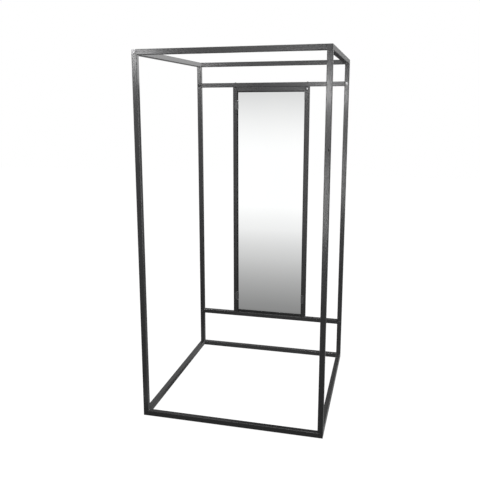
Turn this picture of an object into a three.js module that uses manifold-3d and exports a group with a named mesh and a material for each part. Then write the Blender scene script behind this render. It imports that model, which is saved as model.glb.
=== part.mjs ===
// Portable fitting room: an open booth of square steel tube with a tall mirror in its back.
// It comes apart: every tube plugs onto a corner block or a joiner and is held by screws.
// Millimetres, +Z up, the entrance faces -Y, the origin is the middle of the footprint on the floor.
import * as THREE from 'three';
import { mergeVertices } from 'three/addons/utils/BufferGeometryUtils.js';
import Module from 'manifold-3d';

const wasm = await Module();
wasm.setup();

// Booth, over the outside of the tubes
const boothWidth = 1060;
const boothDepth = 1150;
const boothHeight = 2100;

// Square tube of every post, rail and bar
const tubeSide = 30;
const tubeWall = 1.5;
const tubeCornerRadius = 2.5;

// Clearances
const seamGap = 0.3;      // from a tube's end to what it meets
const plugFit = 0.3;      // from a plug to the tube round it, on each side
const screwFit = 0.3;     // from a shank or head to its hole, on each side
const seatGap = 0.2;      // from one seated face to the other
const cutOverrun = 1;     // how far a cut runs past the face it starts from

// Corner blocks: a cube with three plugs
const cornerPlugLength = 45;
const plugCornerRadius = 1.5;
const plugLeadIn = 3;     // length of the taper at a plug's tip
const plugLeadDrop = 1.2; // how far each side draws in there

// Holes for the countersunk screws that lock the tubes on their plugs
const lockHeadDiameter = 9;
const lockHeadDepth = 2.4;
const lockShankDiameter = 5;
const lockDepth = 13;
const lockSetBack = 22;   // from the tube's end to the hole

// Crossbars between the back posts, at their middles
const upperBarDrop = 156; // below the booth's top
const lowerBarHeight = 272;

// Joiners: a plug in a crossbar's end with a lug that reaches into the post
const joinerPlugLength = 35;
const lugThickness = 22;
const lugHeight = 20;
const lugEndGap = 1.5;    // from the lug's tip to the post's far wall

// Domed bolts that clamp the crossbars' lugs
const barBoltHeadDiameter = 18;
const barBoltHeadHeight = 5;
const barBoltShankDiameter = 8;
const barBoltSocketWidth = 5;
const barBoltSocketDepth = 2.6;

// Mirror frame, between the crossbars: two stiles and a head rail
const mirrorFrameWidth = 536;
const headRailGap = 0.5;  // below the upper crossbar

// The stiles hang on plugs bolted under the upper crossbar, each held by a screw from the front
const stilePlugLength = 30;
const stileScrewDrop = 16;   // below the upper crossbar
const stileScrewLength = 8;
const stileScrewHeadDiameter = 12;
const stileScrewHeadHeight = 3.2;
const stileScrewShankDiameter = 5;
const stileScrewSocketWidth = 3;
const stileScrewSocketDepth = 1.8;

// Bolts through the crossbars into the upper plugs and into the stiles' lower end plates
const stileEndPlate = 8;
const stileBoltGrip = 14;    // past the crossbar
const stileBoltHeadDiameter = 11;
const stileBoltHeadHeight = 3.3;
const stileBoltShankDiameter = 6;
const stileBoltSocketWidth = 4;
const stileBoltSocketDepth = 2;

// Mirror panel
const glassSetBack = 15;  // from the stiles' front to the glass
const glassThickness = 4;
const boardThickness = 3;
const panelGap = 0.8;     // round the panel in its opening
const gasketWall = 1.2;
const gasketLip = 1.2;    // how far it laps over the glass

// Channel welded on the lower crossbar for the panel to stand in, and angles welded behind it
const channelWall = 1.5;
const channelHeight = 16;
const stopWall = 2;
const stopLeg = 12;

// Clips that hold the panel in from the front
const clipThickness = 1.8;
const clipLength = 62;
const clipFlange = 17;
const clipFoot = 3.5;
const clipScrewHeadDiameter = 7.5;
const clipScrewHeadHeight = 2.4;
const clipScrewShankDiameter = 4;
const clipScrewLength = 12;
const clipScrewSocketWidth = 2;
const clipScrewSocketDepth = 1.2;
const clipScrewSpacing = 44;
const clipUpperDrop = { left: 121, right: 62 }; // clip's middle below the upper crossbar's underside
const clipLowerRise = { left: 126, right: 133 }; // clip's middle above the lower crossbar's top

// Plain hole in the front right post
const postHoleDiameter = 8;
const postHoleDrop = 515; // below the booth's top
const postHoleOffset = 6; // outwards from the post's middle

// Facets
const cornerSegments = 2;
const screwSegments = 10;
const boltSegments = 16;
const domeSteps = 3;
const domeRimShare = 0.25; // of a head's height, straight before it curves

// Places that follow from the sizes
const postX = (boothWidth - tubeSide) / 2;
const postY = (boothDepth - tubeSide) / 2;
const bottomRailHeight = tubeSide / 2;
const topRailHeight = boothHeight - tubeSide / 2;
const upperBarHeight = boothHeight - upperBarDrop;
const postLength = boothHeight - 2 * tubeSide - 2 * seamGap;
const crossRailLength = boothWidth - 2 * tubeSide - 2 * seamGap;
const sideRailLength = boothDepth - 2 * tubeSide - 2 * seamGap;
const tubeInside = tubeSide - 2 * tubeWall;
const plugSide = tubeInside - 2 * plugFit;
const upperBarUnderside = upperBarHeight - tubeSide / 2;
const lowerBarTop = lowerBarHeight + tubeSide / 2;
const mirrorPlaneFront = postY - tubeSide / 2;
const stileX = (mirrorFrameWidth - tubeSide) / 2;
const openingHalf = mirrorFrameWidth / 2 - tubeSide;
const stileBottom = lowerBarTop + seamGap;
const stileTop = upperBarUnderside - seamGap;
const headRailHeight = upperBarUnderside - headRailGap - tubeSide / 2;
const headRailUnderside = headRailHeight - tubeSide / 2;
const headRailLength = 2 * openingHalf - 2 * seamGap;

// Mirror panel in depth, measured back from the stiles' front
const glassBack = glassSetBack + glassThickness;
const boardFront = glassBack + seatGap;
const boardBack = boardFront + boardThickness;
const gasketFront = glassSetBack - seatGap - gasketWall;
const gasketBack = boardBack + seatGap + gasketWall;

// Mirror panel in height
const channelBottom = lowerBarTop + seatGap;
const channelTop = channelBottom + channelHeight;
const panelBottom = channelBottom + channelWall + seatGap;
const panelTop = headRailUnderside - panelGap;
const panelHalf = openingHalf - panelGap;
const glassEdge = gasketWall + seatGap; // from the panel's edge to the glass

const sides = [['left', -1], ['right', 1]];

// Materials
function finish(color, roughness, metalness) {
  return new THREE.MeshStandardMaterial({ color, roughness, metalness });
}
const frameSteel = finish(0x46474a, 0.42, 0.7);
const blockMetal = finish(0x404144, 0.45, 0.6);
const plugPlastic = finish(0x1c1c1e, 0.6, 0);
const joinerSteel = finish(0x8c8d8f, 0.4, 0.9);
const screwBlack = finish(0x2a2b2d, 0.4, 0.8);
const screwBright = finish(0xd6d7d8, 0.2, 1);
const mirrorSilver = finish(0xe9ecee, 0.03, 1);
const boardBrown = finish(0x5a4636, 0.85, 0);
const gasketRubber = finish(0x121213, 0.8, 0);
const clipSteel = finish(0x77787b, 0.35, 0.9);

// Solids: closed meshes that can be joined and cut
function solidOf(geometry) {
  geometry.deleteAttribute('normal');
  geometry.deleteAttribute('uv');
  const merged = mergeVertices(geometry);
  return new wasm.Manifold(new wasm.Mesh({
    numProp: 3,
    vertProperties: Float32Array.from(merged.attributes.position.array),
    triVerts: Uint32Array.from(merged.index.array),
  }));
}

function geometryOf(solid) {
  const mesh = solid.getMesh();
  const geometry = new THREE.BufferGeometry();
  geometry.setAttribute('position', new THREE.BufferAttribute(mesh.vertProperties, 3));
  geometry.setIndex(new THREE.BufferAttribute(mesh.triVerts, 1));
  geometry.computeVertexNormals();
  return geometry;
}

function joined(solids) {
  return solids.reduce((whole, solid) => whole.add(solid));
}

function cut(solid, cutters) {
  return cutters.reduce((rest, cutter) => rest.subtract(cutter), solid);
}

// Turns local Z to an axis; a section's first and second directions follow in X, Y, Z order
function turnTo(geometry, axis) {
  const x = new THREE.Vector3(1, 0, 0);
  const y = new THREE.Vector3(0, 1, 0);
  const z = new THREE.Vector3(0, 0, 1);
  const columns = { x: [y, z, x], y: [z, x, y], z: [x, y, z] }[axis];
  return geometry.applyMatrix4(new THREE.Matrix4().makeBasis(...columns));
}

// A prism of a flat shape, its middle at the given point
function prism(shape, length, axis, middle) {
  const geometry = new THREE.ExtrudeGeometry(shape, { depth: length, bevelEnabled: false });
  geometry.translate(0, 0, -length / 2);
  return turnTo(geometry, axis).translate(...middle);
}

function block(size, middle) {
  return solidOf(new THREE.BoxGeometry(...size).translate(...middle));
}

// A square whose corners are rounded where the list of corners says so
const squareCorners = [[1, -1], [1, 1], [-1, 1], [-1, -1]];

function squareOutline(side, radius, roundedCorners) {
  const half = side / 2;
  return squareCorners.flatMap(([u, v], index) => {
    if (!roundedCorners.some(([ru, rv]) => ru === u && rv === v)) {
      return [new THREE.Vector2(u * half, v * half)];
    }
    const middle = new THREE.Vector2(u, v).multiplyScalar(half - radius);
    const points = [];
    for (let step = 0; step <= cornerSegments; step += 1) {
      const angle = (index - 1 + step / cornerSegments) * Math.PI / 2;
      points.push(new THREE.Vector2(Math.cos(angle), Math.sin(angle)).multiplyScalar(radius).add(middle));
    }
    return points;
  });
}

// Square tube, cut to a length, open at both ends
function tube(axis, length, middle) {
  const shape = new THREE.Shape(squareOutline(tubeSide, tubeCornerRadius, squareCorners));
  const innerRadius = tubeCornerRadius - tubeWall;
  shape.holes.push(new THREE.Path(squareOutline(tubeInside, innerRadius, squareCorners)));
  return solidOf(prism(shape, length, axis, middle));
}

// Plug that slides into a tube: it runs from its start along an axis, and tapers at its tips
function plug(axis, direction, length, start) {
  const shape = new THREE.Shape(squareOutline(plugSide, plugCornerRadius, squareCorners));
  const geometry = new THREE.ExtrudeGeometry(shape, {
    depth: length - 2 * plugLeadIn,
    bevelEnabled: true,
    bevelThickness: plugLeadIn,
    bevelSize: plugLeadDrop,
    bevelOffset: -plugLeadDrop,
    bevelSegments: 1,
  });
  geometry.translate(0, 0, plugLeadIn - length / 2);
  turnTo(geometry, axis);
  const middle = start.clone();
  middle[axis] += direction * length / 2;
  return solidOf(geometry.translate(...middle));
}

// Round solid about an axis, from its profile of radii and heights, lowest point first
function turned(profile, segments) {
  const points = profile.map(([radius, height]) => new THREE.Vector2(radius, height));
  return new THREE.LatheGeometry(points, segments).rotateX(Math.PI / 2);
}

// Directions out of the faces that screws go into
const upward = new THREE.Vector3(0, 0, 1);
const forward = new THREE.Vector3(0, -1, 0);
const backward = new THREE.Vector3(0, 1, 0);

// Puts a screw or hole made along local Z, head up, at its site: a place on a face and a way out
function placed(geometry, site) {
  const turn = new THREE.Quaternion().setFromUnitVectors(upward, site.outward);
  return geometry.applyQuaternion(turn).translate(...site.place);
}

function withSocket(solid, top, width, depth) {
  const radius = width / Math.sqrt(3);
  const socket = new THREE.CylinderGeometry(radius, radius, depth + cutOverrun, 6);
  socket.rotateX(Math.PI / 2).translate(0, 0, top - depth + (depth + cutOverrun) / 2);
  return solid.subtract(solidOf(socket));
}

// Countersunk hole for a lock screw, going in from a face
function lockHole(site) {
  const profile = [
    [0, -lockDepth],
    [lockShankDiameter / 2, -lockDepth],
    [lockShankDiameter / 2, -lockHeadDepth],
    [lockHeadDiameter / 2, 0],
    [lockHeadDiameter / 2, cutOverrun],
    [0, cutOverrun],
  ];
  return solidOf(placed(turned(profile, screwSegments), site));
}

// Domed screws and bolts
const barBolt = {
  headDiameter: barBoltHeadDiameter,
  headHeight: barBoltHeadHeight,
  shankDiameter: barBoltShankDiameter,
  length: (tubeSide + lugThickness) / 2,
  socketWidth: barBoltSocketWidth,
  socketDepth: barBoltSocketDepth,
  segments: boltSegments,
};
const stileScrew = {
  headDiameter: stileScrewHeadDiameter,
  headHeight: stileScrewHeadHeight,
  shankDiameter: stileScrewShankDiameter,
  length: stileScrewLength,
  socketWidth: stileScrewSocketWidth,
  socketDepth: stileScrewSocketDepth,
  segments: boltSegments,
};
const stileBolt = {
  headDiameter: stileBoltHeadDiameter,
  headHeight: stileBoltHeadHeight,
  shankDiameter: stileBoltShankDiameter,
  length: tubeSide + stileBoltGrip,
  socketWidth: stileBoltSocketWidth,
  socketDepth: stileBoltSocketDepth,
  segments: screwSegments,
};
const clipScrew = {
  headDiameter: clipScrewHeadDiameter,
  headHeight: clipScrewHeadHeight,
  shankDiameter: clipScrewShankDiameter,
  length: clipScrewLength,
  socketWidth: clipScrewSocketWidth,
  socketDepth: clipScrewSocketDepth,
  segments: screwSegments,
};

function domedScrew(screw, site) {
  const headRadius = screw.headDiameter / 2;
  const rim = screw.headHeight * domeRimShare;
  const profile = [
    [0, -screw.length],
    [screw.shankDiameter / 2, -screw.length],
    [screw.shankDiameter / 2, seatGap],
    [headRadius, seatGap],
  ];
  for (let step = 0; step <= domeSteps; step += 1) {
    const angle = step / domeSteps * Math.PI / 2;
    const radius = step === domeSteps ? 0 : headRadius * Math.cos(angle);
    profile.push([radius, seatGap + rim + (screw.headHeight - rim) * Math.sin(angle)]);
  }
  const body = solidOf(turned(profile, screw.segments));
  const top = seatGap + screw.headHeight;
  return placed(geometryOf(withSocket(body, top, screw.socketWidth, screw.socketDepth)), site);
}

// Round hole of a given depth, starting at a face
function roundHole(diameter, depth, site, segments) {
  const length = depth + cutOverrun;
  const hole = new THREE.CylinderGeometry(diameter / 2, diameter / 2, length, segments);
  hole.rotateX(Math.PI / 2).translate(0, 0, cutOverrun - length / 2);
  return solidOf(placed(hole, site));
}

// Hole for a screw's shank
function shankHole(screw, site) {
  return roundHole(screw.shankDiameter + 2 * screwFit, screw.length + screwFit, site, screw.segments);
}

// Corners of the booth, each with its name and the signs of its place
const corners = [];
for (const [levelName, z] of [['bottom', -1], ['top', 1]]) {
  for (const [faceName, y] of [['front', -1], ['back', 1]]) {
    for (const [sideName, x] of sides) {
      corners.push({ name: `${levelName}_${faceName}_${sideName}`, x, y, z });
    }
  }
}

function cornerMiddle(corner) {
  const z = corner.z < 0 ? bottomRailHeight : topRailHeight;
  return new THREE.Vector3(corner.x * postX, corner.y * postY, z);
}

// Site of a plug's lock screw: rails are screwed from above or below, posts from behind
function lockSite(corner, axis) {
  const place = cornerMiddle(corner);
  place[axis] -= corner[axis] * (tubeSide / 2 + seamGap + lockSetBack);
  const outward = axis === 'z' ? backward : upward.clone().multiplyScalar(corner.z);
  place.addScaledVector(outward, tubeSide / 2);
  return { place, outward };
}

// Cube with three rounded outer edges and a plug for each tube that meets there
function cornerBlock(corner) {
  const middle = cornerMiddle(corner);
  const outerCorners = {
    x: [corner.y, corner.z],
    y: [corner.z, corner.x],
    z: [corner.x, corner.y],
  };
  const prisms = Object.entries(outerCorners).map(([axis, outer]) => {
    const shape = new THREE.Shape(squareOutline(tubeSide, tubeCornerRadius, [outer]));
    return solidOf(prism(shape, tubeSide, axis, middle));
  });
  const cube = prisms.reduce((common, solid) => common.intersect(solid));
  const plugs = ['x', 'y', 'z'].map((axis) => {
    return plug(axis, -corner[axis], tubeSide / 2 + seamGap + cornerPlugLength, middle);
  });
  const holes = ['x', 'y', 'z'].map((axis) => lockHole(lockSite(corner, axis)));
  return cut(joined([cube, ...plugs]), holes);
}

// Lock holes in a tube that runs along an axis between two corners
function lockHolesFor(axis, matches) {
  return corners.filter(matches).map((corner) => lockHole(lockSite(corner, axis)));
}

// Joints where a crossbar's end meets the side of a back post
const crossbarJoints = [];
for (const [levelName, height] of [['upper', upperBarHeight], ['lower', lowerBarHeight]]) {
  for (const [sideName, side] of sides) {
    crossbarJoints.push({ name: `${levelName}_${sideName}`, height, side });
  }
}

// Front face of a back post, where a lug's bolt goes in
function lugBoltSite(joint) {
  return { place: new THREE.Vector3(joint.side * postX, mirrorPlaneFront, joint.height), outward: forward };
}

// A plug in the crossbar's end, with a lug that reaches through the post's wall to the bolt
function joiner(joint) {
  const barEnd = crossRailLength / 2;
  const lugTip = postX + tubeInside / 2 - lugEndGap;
  const lugRoot = barEnd - joinerPlugLength / 2;
  const lugX = joint.side * (lugTip + lugRoot) / 2;
  const lug = block([lugTip - lugRoot, lugThickness, lugHeight], [lugX, postY, joint.height]);
  const start = new THREE.Vector3(joint.side * barEnd, postY, joint.height);
  const body = joined([plug('x', -joint.side, joinerPlugLength, start), lug]);
  return cut(body, [shankHole(barBolt, lugBoltSite(joint))]);
}

// Slot and bolt hole that a joiner needs in its post
function jointCuts(joint) {
  const slotSize = [2 * tubeWall + 2 * cutOverrun, lugThickness + 2 * screwFit, lugHeight + 2 * screwFit];
  const wallX = joint.side * (postX - tubeSide / 2);
  const holeDiameter = barBoltShankDiameter + 2 * screwFit;
  return [
    block(slotSize, [wallX, postY, joint.height]),
    roundHole(holeDiameter, tubeWall + cutOverrun, lugBoltSite(joint), boltSegments),
  ];
}

// Bolts through the crossbars into the stiles' ends
const stileEnds = [];
for (const [sideName, side] of sides) {
  const x = side * stileX;
  stileEnds.push({
    name: `upper_${sideName}`,
    side,
    isUpper: true,
    place: new THREE.Vector3(x, postY, upperBarHeight + tubeSide / 2),
    outward: upward,
  });
  stileEnds.push({
    name: `lower_${sideName}`,
    side,
    isUpper: false,
    place: new THREE.Vector3(x, postY, lowerBarHeight - tubeSide / 2),
    outward: upward.clone().negate(),
  });
}

// Front of a stile, where the screw into its plug goes in
function stileScrewSite(side) {
  const height = upperBarUnderside - stileScrewDrop;
  return { place: new THREE.Vector3(side * stileX, mirrorPlaneFront, height), outward: forward };
}

function stilePlug(side) {
  const start = new THREE.Vector3(side * stileX, postY, stileTop);
  const end = stileEnds.find((one) => one.side === side && one.isUpper);
  const holes = [shankHole(stileBolt, end), shankHole(stileScrew, stileScrewSite(side))];
  return cut(plug('z', -1, stilePlugLength, start), holes);
}

// Posts
function post(corner) {
  const middle = [corner.x * postX, corner.y * postY, boothHeight / 2];
  const cuts = lockHolesFor('z', (one) => one.x === corner.x && one.y === corner.y);
  if (corner.y > 0) {
    for (const joint of crossbarJoints.filter((one) => one.side === corner.x)) {
      cuts.push(...jointCuts(joint));
    }
  } else if (corner.x > 0) {
    const holeHeight = boothHeight - postHoleDrop;
    const place = new THREE.Vector3(postX + postHoleOffset, -postY - tubeSide / 2, holeHeight);
    cuts.push(roundHole(postHoleDiameter, tubeWall + cutOverrun, { place, outward: forward }, boltSegments));
  }
  return cut(tube('z', postLength, middle), cuts);
}

// Rails of the top and bottom rings
function crossRail(y, z) {
  const middle = [0, y * postY, z < 0 ? bottomRailHeight : topRailHeight];
  const holes = lockHolesFor('x', (one) => one.y === y && one.z === z);
  return cut(tube('x', crossRailLength, middle), holes);
}

function sideRail(x, z) {
  const middle = [x * postX, 0, z < 0 ? bottomRailHeight : topRailHeight];
  const holes = lockHolesFor('y', (one) => one.x === x && one.z === z);
  return cut(tube('y', sideRailLength, middle), holes);
}

// Crossbars, bored for the stiles' bolts
function crossbar(isUpper, height) {
  const holes = stileEnds.filter((end) => end.isUpper === isUpper).map((end) => shankHole(stileBolt, end));
  return cut(tube('x', crossRailLength, [0, postY, height]), holes);
}

// Stiles of the mirror frame, each closed at its foot by a threaded plate
function stile(sideName, side) {
  const length = stileTop - stileBottom;
  const shell = tube('z', length, [side * stileX, postY, stileBottom + length / 2]);
  const plateMiddle = [side * stileX, postY, stileBottom + stileEndPlate / 2];
  const plateOutline = squareOutline(tubeSide - tubeWall, tubeCornerRadius - tubeWall / 2, squareCorners);
  const plate = solidOf(prism(new THREE.Shape(plateOutline), stileEndPlate, 'z', plateMiddle));
  const end = stileEnds.find((one) => one.side === side && !one.isUpper);
  const screwHole = stileScrewShankDiameter + 2 * screwFit;
  const holes = [
    shankHole(stileBolt, end),
    roundHole(screwHole, tubeWall + cutOverrun, stileScrewSite(side), boltSegments),
    ...clipScrewSites(sideName, side).map((site) => shankHole(clipScrew, site)),
  ];
  return cut(joined([shell, plate]), holes);
}

function headRail() {
  return tube('x', headRailLength, [0, postY, headRailHeight]);
}

// Mirror panel: glass on a board, with a rubber edge round both
function panelLayer(front, back) {
  const low = panelBottom + glassEdge;
  const high = panelTop - glassEdge;
  const size = [2 * (panelHalf - glassEdge), back - front, high - low];
  return block(size, [0, mirrorPlaneFront + (front + back) / 2, (low + high) / 2]);
}

function gasket() {
  const middleY = mirrorPlaneFront + (gasketFront + gasketBack) / 2;
  const middleZ = (panelBottom + panelTop) / 2;
  const thickness = gasketBack - gasketFront;
  const height = panelTop - panelBottom;
  const window = gasketWall + seatGap + gasketLip;
  const outer = block([2 * panelHalf, thickness, height], [0, middleY, middleZ]);
  const groove = block(
    [2 * (panelHalf - gasketWall), thickness - 2 * gasketWall, height - 2 * gasketWall],
    [0, middleY, middleZ],
  );
  const opening = block(
    [2 * (panelHalf - window), thickness + 2 * cutOverrun, height - 2 * window],
    [0, middleY, middleZ],
  );
  return cut(outer, [groove, opening]);
}

// Channel on the lower crossbar, drawn in depth and height
const channelFront = gasketFront - seatGap - channelWall;
const channelBack = gasketBack + seatGap + channelWall;
const channelLength = 2 * (openingHalf - seatGap);

function outline(points) {
  return new THREE.Shape(points.map(([u, v]) => new THREE.Vector2(u, v)));
}

function bottomChannel() {
  const shape = outline([
    [channelFront, 0],
    [channelBack, 0],
    [channelBack, channelHeight],
    [channelBack - channelWall, channelHeight],
    [channelBack - channelWall, channelWall],
    [channelFront + channelWall, channelWall],
    [channelFront + channelWall, channelHeight],
    [channelFront, channelHeight],
  ]);
  return solidOf(prism(shape, channelLength, 'x', [0, mirrorPlaneFront, channelBottom]));
}

// Angle behind the panel, welded to a stile; its outline runs inwards from the stile, then back
function sideStop(side) {
  const inwards = (distance) => side * (openingHalf - distance);
  const front = gasketBack + seatGap;
  const shape = outline([
    [inwards(seatGap), front],
    [inwards(seatGap + stopLeg), front],
    [inwards(seatGap + stopLeg), front + stopWall],
    [inwards(seatGap + stopWall), front + stopWall],
    [inwards(seatGap + stopWall), tubeSide],
    [inwards(seatGap), tubeSide],
  ]);
  const low = channelTop + seamGap;
  const high = headRailUnderside - seamGap;
  return solidOf(prism(shape, high - low, 'z', [0, mirrorPlaneFront, (low + high) / 2]));
}

// Clips: a flange on the stile, a web back along it and a foot over the glass
function clipHeights(sideName) {
  return {
    upper: upperBarUnderside - clipUpperDrop[sideName],
    lower: lowerBarTop + clipLowerRise[sideName],
  };
}

function clipScrewSites(sideName, side) {
  const x = side * (openingHalf + clipFlange / 2);
  const y = mirrorPlaneFront - seatGap - clipThickness;
  return Object.entries(clipHeights(sideName)).flatMap(([levelName, height]) => {
    return [['bottom', -1], ['top', 1]].map(([endName, end]) => ({
      name: `${levelName}_${sideName}_${endName}`,
      place: new THREE.Vector3(x, y, height + end * clipScrewSpacing / 2),
      outward: forward,
    }));
  });
}

function clip(sideName, side, levelName) {
  const inwards = (distance) => side * (openingHalf - distance);
  const flangeBack = -seatGap;
  const flangeFront = flangeBack - clipThickness;
  const webInner = seatGap + clipThickness;
  const footBack = gasketFront - seatGap;
  const shape = outline([
    [inwards(-clipFlange), flangeBack],
    [inwards(-clipFlange), flangeFront],
    [inwards(webInner), flangeFront],
    [inwards(webInner), footBack - clipThickness],
    [inwards(webInner + clipFoot), footBack - clipThickness],
    [inwards(webInner + clipFoot), footBack],
    [inwards(seatGap), footBack],
    [inwards(seatGap), flangeBack],
  ]);
  const height = clipHeights(sideName)[levelName];
  const body = solidOf(prism(shape, clipLength, 'z', [0, mirrorPlaneFront, height]));
  return cut(body, clipScrewSites(sideName, side).map((site) => shankHole(clipScrew, site)));
}

// The booth, piece by piece
const booth = new THREE.Group();

function add(name, shape, material) {
  const geometry = shape.isBufferGeometry ? shape : geometryOf(shape);
  const mesh = new THREE.Mesh(geometry, material);
  mesh.name = name;
  booth.add(mesh);
}

for (const corner of corners) {
  add(`corner_${corner.name}`, cornerBlock(corner), blockMetal);
}
for (const corner of corners.filter((one) => one.z < 0)) {
  add(`post_${corner.name.replace('bottom_', '')}`, post(corner), frameSteel);
}
for (const [levelName, z] of [['bottom', -1], ['top', 1]]) {
  for (const [faceName, y] of [['front', -1], ['back', 1]]) {
    add(`${levelName}_rail_${faceName}`, crossRail(y, z), frameSteel);
  }
  for (const [sideName, x] of sides) {
    add(`${levelName}_rail_${sideName}`, sideRail(x, z), frameSteel);
  }
}

add('crossbar_upper', crossbar(true, upperBarHeight), frameSteel);
add('crossbar_lower', crossbar(false, lowerBarHeight), frameSteel);
for (const joint of crossbarJoints) {
  const isBright = joint.name === 'upper_right';
  add(`crossbar_joiner_${joint.name}`, joiner(joint), joinerSteel);
  add(
    `crossbar_bolt_${joint.name}`,
    domedScrew(barBolt, lugBoltSite(joint)),
    isBright ? screwBright : screwBlack,
  );
}

add('mirror_head_rail', headRail(), frameSteel);
for (const [sideName, side] of sides) {
  add(`mirror_stile_${sideName}`, stile(sideName, side), frameSteel);
  add(`mirror_stop_${sideName}`, sideStop(side), frameSteel);
  add(`stile_plug_${sideName}`, stilePlug(side), plugPlastic);
  add(
    `stile_screw_${sideName}`,
    domedScrew(stileScrew, stileScrewSite(side)),
    sideName === 'right' ? screwBright : screwBlack,
  );
  for (const levelName of ['upper', 'lower']) {
    add(`mirror_clip_${levelName}_${sideName}`, clip(sideName, side, levelName), clipSteel);
  }
  for (const site of clipScrewSites(sideName, side)) {
    add(`clip_screw_${site.name}`, domedScrew(clipScrew, site), screwBright);
  }
}
for (const end of stileEnds) {
  add(`stile_bolt_${end.name}`, domedScrew(stileBolt, end), screwBlack);
}
add('mirror_channel', bottomChannel(), frameSteel);
add('mirror_glass', panelLayer(glassSetBack, glassBack), mirrorSilver);
add('mirror_backing_board', panelLayer(boardFront, boardBack), boardBrown);
add('mirror_edge_gasket', gasket(), gasketRubber);

export default booth;
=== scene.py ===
# Portable fitting room: finishes, fasteners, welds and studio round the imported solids. Metres, +Z up.
import math
from typing import NamedTuple

import bmesh
import bpy
from mathutils import Matrix, Vector


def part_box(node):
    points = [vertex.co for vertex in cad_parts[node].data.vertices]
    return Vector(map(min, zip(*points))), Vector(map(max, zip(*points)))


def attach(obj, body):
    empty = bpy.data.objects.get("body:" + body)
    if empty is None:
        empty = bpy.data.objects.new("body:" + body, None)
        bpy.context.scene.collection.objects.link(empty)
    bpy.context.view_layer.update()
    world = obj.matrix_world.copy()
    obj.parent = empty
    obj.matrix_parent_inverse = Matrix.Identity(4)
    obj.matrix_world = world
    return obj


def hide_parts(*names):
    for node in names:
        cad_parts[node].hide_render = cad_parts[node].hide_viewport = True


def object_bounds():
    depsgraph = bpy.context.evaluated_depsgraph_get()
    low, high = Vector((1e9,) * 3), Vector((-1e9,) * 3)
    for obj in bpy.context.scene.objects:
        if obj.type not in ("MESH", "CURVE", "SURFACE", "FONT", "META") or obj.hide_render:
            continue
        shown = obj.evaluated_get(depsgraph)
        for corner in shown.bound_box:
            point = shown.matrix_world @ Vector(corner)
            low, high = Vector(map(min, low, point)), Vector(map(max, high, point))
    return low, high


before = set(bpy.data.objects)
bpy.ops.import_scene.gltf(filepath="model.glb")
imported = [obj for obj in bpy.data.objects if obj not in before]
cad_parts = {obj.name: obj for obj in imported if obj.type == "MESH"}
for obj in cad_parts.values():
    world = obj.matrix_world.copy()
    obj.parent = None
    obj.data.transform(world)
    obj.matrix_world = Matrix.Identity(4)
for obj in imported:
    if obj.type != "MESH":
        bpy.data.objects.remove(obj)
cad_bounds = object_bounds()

MM = 0.001
SIDES = {"left": -1, "right": 1}
LEVELS = ("upper", "lower")
FORWARD = Vector((0, -1, 0))
UPWARD = Vector((0, 0, 1))

# Sizes that the solids share, for the pieces that are made here
TUBE_SIDE = 30 * MM
TUBE_RADIUS = 2.5 * MM
SEAM_GAP = 0.3 * MM
SEAT_GAP = 0.2 * MM

# Photographer's view, from the fit to the photograph
CAMERA_PLACE = (0.8311, -3.6436, 1.8108)
CAMERA_YAW = 0.25879
CAMERA_PITCH = -0.19412
CAMERA_ROLL = 0.00398
CAMERA_LENS_MM = 45.38
CAMERA_SENSOR_MM = 36
CAMERA_SHIFT = (0.0164, -0.0344)

# Where a Mix node keeps its sockets for colours
MIX_INPUTS = (0, 6, 7)
MIX_OUTPUT = 2


# Shader arithmetic
class Wire:
    """A number that runs between shader nodes. Arithmetic on it adds Math nodes."""

    def __init__(self, nodes, socket):
        self.nodes = nodes
        self.socket = socket

    def math(self, operation, *values):
        return self.nodes.node("ShaderNodeMath", {"operation": operation}, *values)

    def __add__(self, other):
        return self.math("ADD", self, other)

    __radd__ = __add__

    def __mul__(self, other):
        return self.math("MULTIPLY", self, other)

    def __neg__(self):
        return self.math("MULTIPLY", self, -1)

    def __sub__(self, other):
        return self.math("SUBTRACT", self, other)

    def __rsub__(self, other):
        return self.math("SUBTRACT", other, self)

    def __truediv__(self, other):
        return self.math("DIVIDE", self, other)

    def __pow__(self, other):
        return self.math("POWER", self, other)

    def step(self, low, high):
        """0 below low, 1 above high, and smooth between."""
        settings = {"interpolation_type": "SMOOTHSTEP"}
        sockets = {"Value": self, "From Min": low, "From Max": high}
        return self.nodes.node("ShaderNodeMapRange", settings, **sockets)


def between(factor, low, high):
    """low where the factor is 0, high where it is 1."""
    return factor * (high - low) + low


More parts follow.
